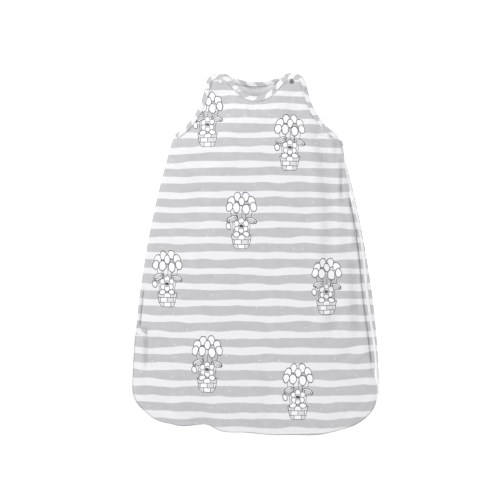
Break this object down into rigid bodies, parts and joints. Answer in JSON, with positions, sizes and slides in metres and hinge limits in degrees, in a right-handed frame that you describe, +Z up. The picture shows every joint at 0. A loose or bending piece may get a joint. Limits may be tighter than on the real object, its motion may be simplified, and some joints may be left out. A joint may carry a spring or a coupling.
{
  "type": "baby sleeping bag",
  "caption": "Sleeveless padded baby sleeping bag with a bell-shaped body, snap shoulder straps, bound neck and armholes, and a long side zip.",
  "frame": {"origin": "midway between the tops of the two shoulder straps, in the seam plane between front and back, where the bag hangs", "axes": "+Z up along the bag's length; +X across to the zip side, the wearer's left; -Y out of the front"},
  "size_m": [0.4852, 0.0516, 0.7047],
  "materials": {
    "striped_jersey": null,
    "bias_binding": "striped jersey cut on the bias, topstitched",
    "lining": "plain pale grey cotton jersey",
    "wadding": "white polyester wadding",
    "zip_tape": "white woven polyester tape",
    "zip_coil": "white nylon coil",
    "zip_slider": "white lacquered zinc",
    "snap_metal": "nickel-plated brass"
  },
  "bodies": {
    "back": {"back_shell": "striped_jersey", "back_wadding": "wadding", "back_lining": "lining", "back_binding": "bias_binding", "snap_left_stud": "snap_metal", "snap_left_post": "snap_metal", "snap_right_stud": "snap_metal", "snap_right_post": "snap_metal", "zip_tape_back": "zip_tape", "zip_teeth_back": "zip_coil", "zip_top_stop_back": "zip_slider", "zip_bottom_stop": "zip_slider"},
    "front_cover": {"front_shell": "striped_jersey", "front_wadding": "wadding", "front_lining": "lining", "neck_binding_front": "bias_binding", "arm_binding_front_left": "bias_binding", "arm_binding_front_right": "bias_binding", "zip_tape_front": "zip_tape", "zip_teeth_front": "zip_coil", "zip_top_stop_front": "zip_slider", "zip_end_tab": "bias_binding"},
    "strap_left": {"strap_left_shell": "striped_jersey", "strap_left_wadding": "wadding", "strap_left_lining": "lining", "strap_binding_left": "bias_binding", "snap_left_cap": "snap_metal", "snap_left_socket": "snap_metal"},
    "strap_right": {"strap_right_shell": "striped_jersey", "strap_right_wadding": "wadding", "strap_right_lining": "lining", "strap_binding_right": "bias_binding", "snap_right_cap": "snap_metal", "snap_right_socket": "snap_metal"},
    "zip_slider": {"zip_slider": "zip_slider"},
    "zip_pull": {"zip_pull": "zip_slider"}
  },
  "joints": [
    {"name": "cover_open", "type": "hinge", "parent": "back", "child": "front_cover", "pos_m": [-0.20853, 0, -0.31331], "axis": [-0.1885, 0, -0.9821], "range_deg": [0, 170]},
    {"name": "strap_left_fold", "type": "hinge", "parent": "front_cover", "child": "strap_left", "pos_m": [-0.069, -0.015, -0.032], "axis": [1, 0, 0], "range_deg": [0, 140]},
    {"name": "strap_right_fold", "type": "hinge", "parent": "front_cover", "child": "strap_right", "pos_m": [0.069, -0.015, -0.032], "axis": [1, 0, 0], "range_deg": [0, 140]},
    {"name": "slider_travel", "type": "hinge", "parent": "back", "child": "zip_slider", "pos_m": [-1.59754, 0, -0.66], "axis": [0, 1, 0], "range_deg": [0, 14.2]},
    {"name": "pull_swing", "type": "hinge", "parent": "zip_slider", "child": "zip_pull", "pos_m": [0.17011, 0, -0.13158], "axis": [0, -1, 0], "range_deg": [0, 150]}
  ]
}
